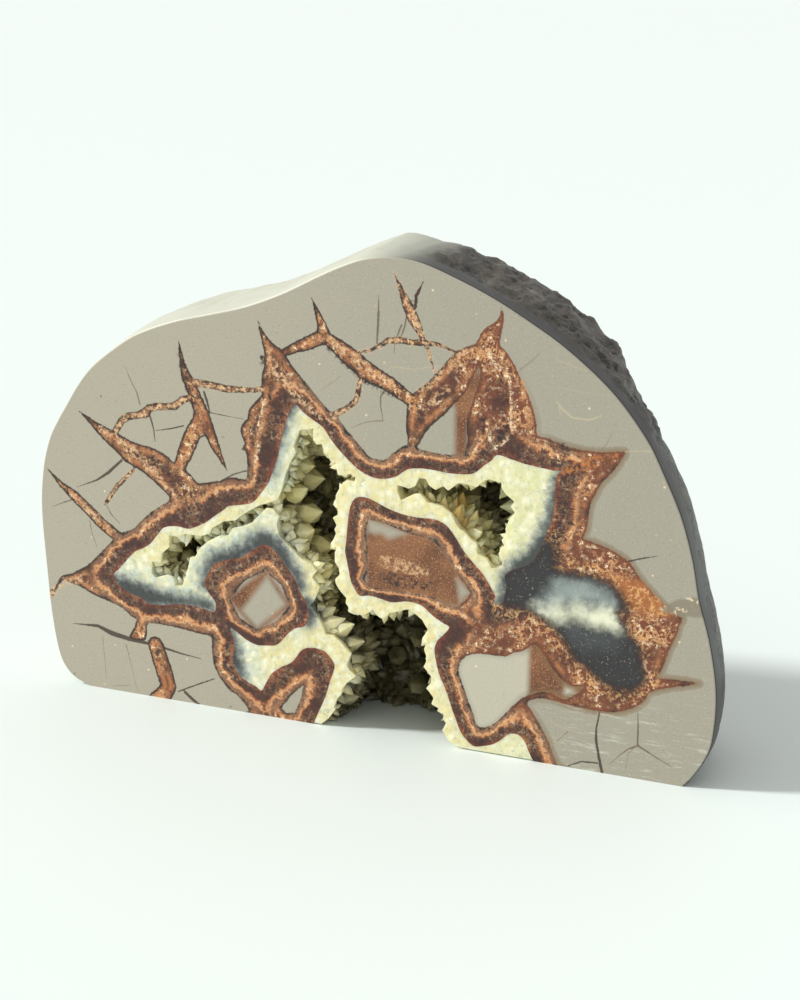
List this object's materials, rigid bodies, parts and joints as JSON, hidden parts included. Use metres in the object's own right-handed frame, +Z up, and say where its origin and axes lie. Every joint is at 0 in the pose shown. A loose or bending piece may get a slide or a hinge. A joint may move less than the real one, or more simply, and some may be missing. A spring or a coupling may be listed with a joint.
{
  "type": "septarian nodule",
  "caption": "Standing cut slice of a septarian nodule with a polished front face, a flat base and a calcite-lined hollow.",
  "frame": {"origin": "middle of the flat base", "axes": "+X along the base to the right of the polished face, +Y into the stone, away from the polished face, +Z up"},
  "size_m": [0.18, 0.0438, 0.1194],
  "materials": {
    "septarian_stone": "polished in front, rough natural skin behind",
    "calcite": "glossy translucent crystal points"
  },
  "bodies": {
    "root": {"nodule": "septarian_stone", "crystal_crust": "calcite"}
  },
  "joints": []
}
